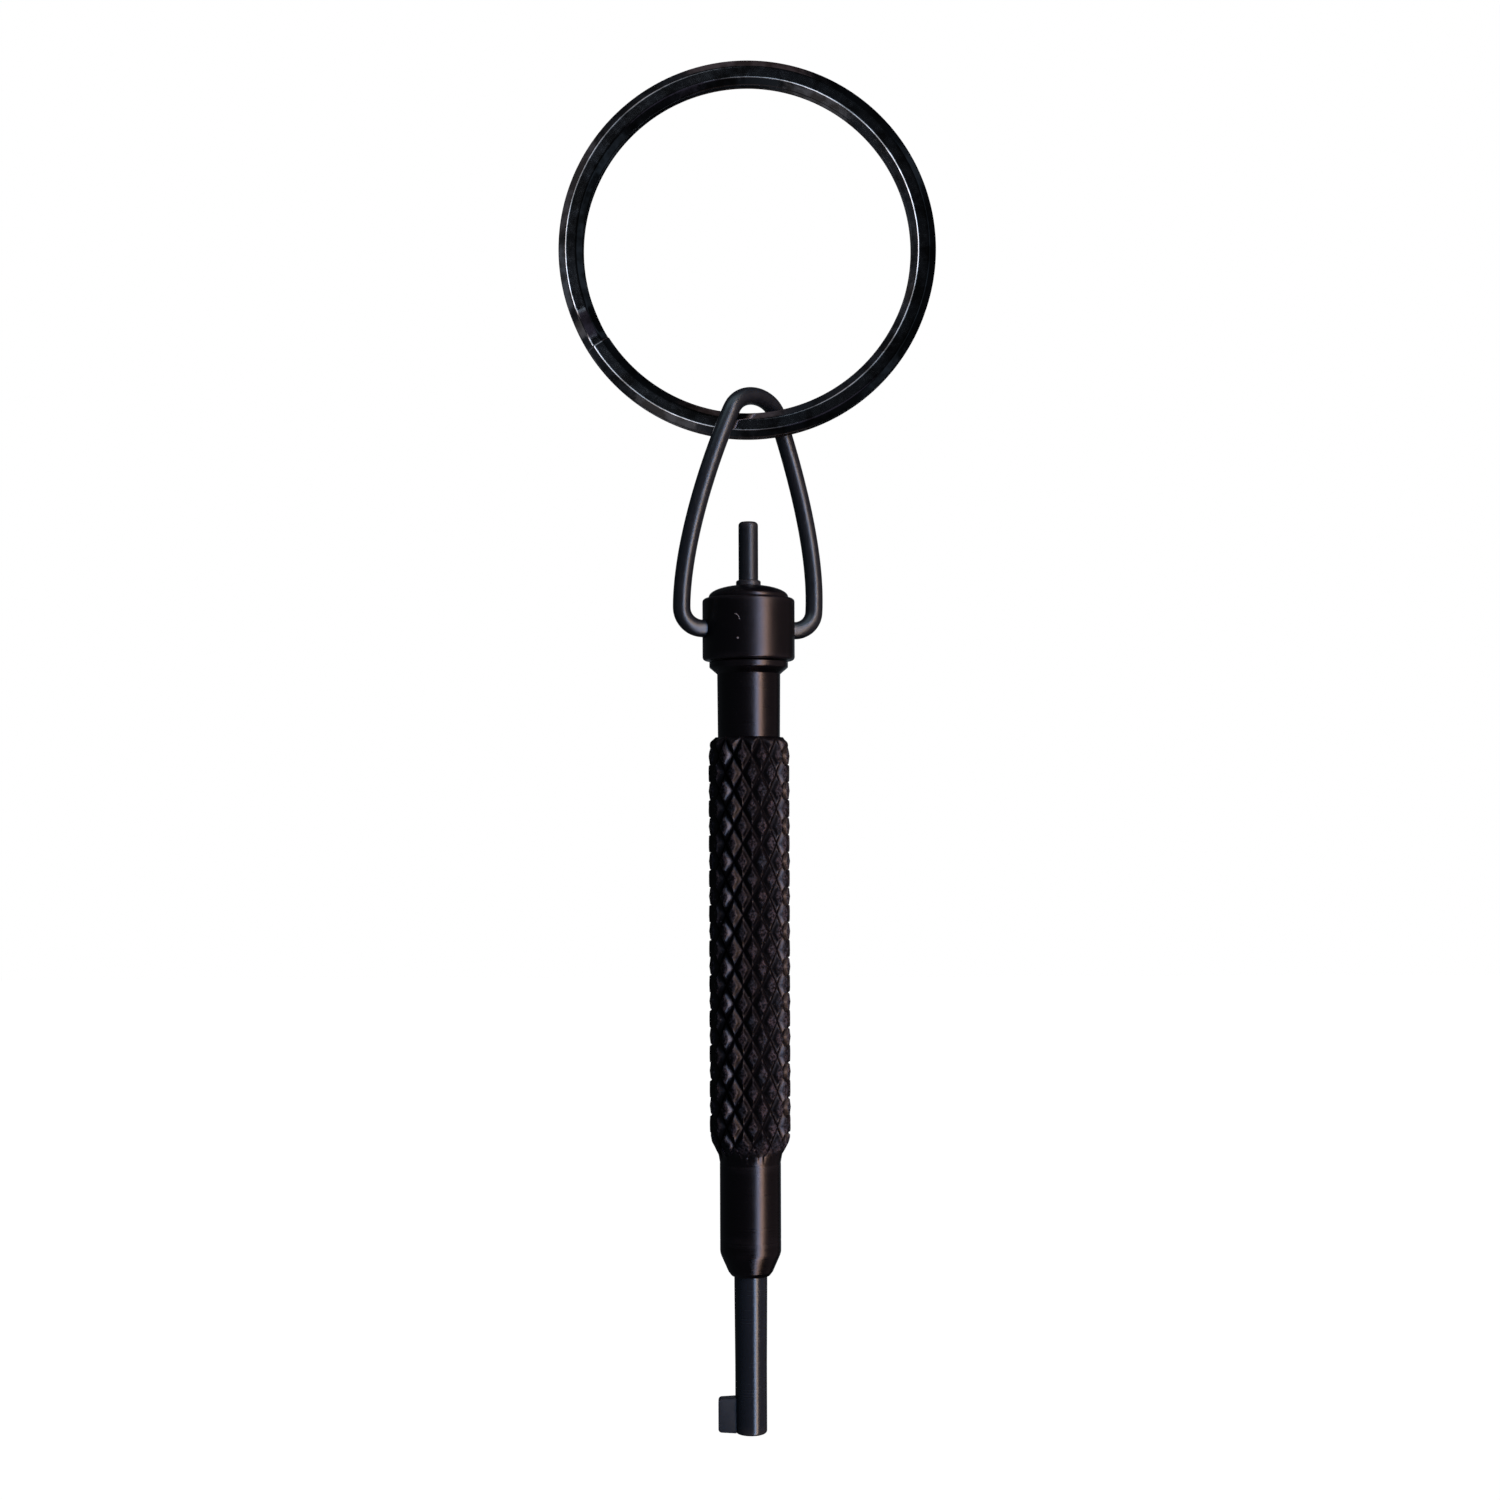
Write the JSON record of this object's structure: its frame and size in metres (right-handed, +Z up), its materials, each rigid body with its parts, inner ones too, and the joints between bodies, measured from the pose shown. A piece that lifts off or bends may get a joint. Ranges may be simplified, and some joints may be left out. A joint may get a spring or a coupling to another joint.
{
  "type": "swivel handcuff key",
  "caption": "Swivel handcuff key: knurled round grip, hollow barrel with a flat bit, double-lock pin, and a wire bail on a split ring.",
  "frame": {"origin": "top of the split ring's hole, where the ring hangs", "axes": "+Z up, against the direction the key hangs in; the key's axis is the Z axis; the ring lies in the XZ plane; the bit points to -X; the side seen first is -Y"},
  "size_m": [0.0388, 0.0094, 0.1411],
  "materials": {
    "ring_steel": "glossy black plating over spring steel, worn at the edges",
    "wire_steel": "blackened steel wire, satin",
    "anodised": "satin black anodised aluminium with a brown-purple cast",
    "key_steel": "blackened steel, satin"
  },
  "bodies": {
    "ring": {"split_ring": "ring_steel"},
    "bail": {"bail": "wire_steel"},
    "collar": {"swivel_collar": "anodised"},
    "key": {"domed_cap": "anodised", "swivel_stud": "key_steel", "double_lock_pin": "key_steel", "pin_bead": "key_steel", "key_body": "anodised", "key_barrel": "key_steel", "key_bit": "key_steel"}
  },
  "joints": [
    {"name": "ring_swing", "type": "hinge", "parent": "ring", "child": "bail", "pos_m": [0, 0, -0.03497], "axis": [1, 0, 0], "range_deg": [-90, 90]},
    {"name": "bail_swing", "type": "hinge", "parent": "bail", "child": "collar", "pos_m": [0, 0, -0.0559], "axis": [0.9511, 0.309, 0], "range_deg": [-105, 105]},
    {"name": "key_swivel", "type": "hinge", "parent": "collar", "child": "key", "pos_m": [0, 0, -0.0559], "axis": [0, 0, 1], "continuous": true}
  ]
}
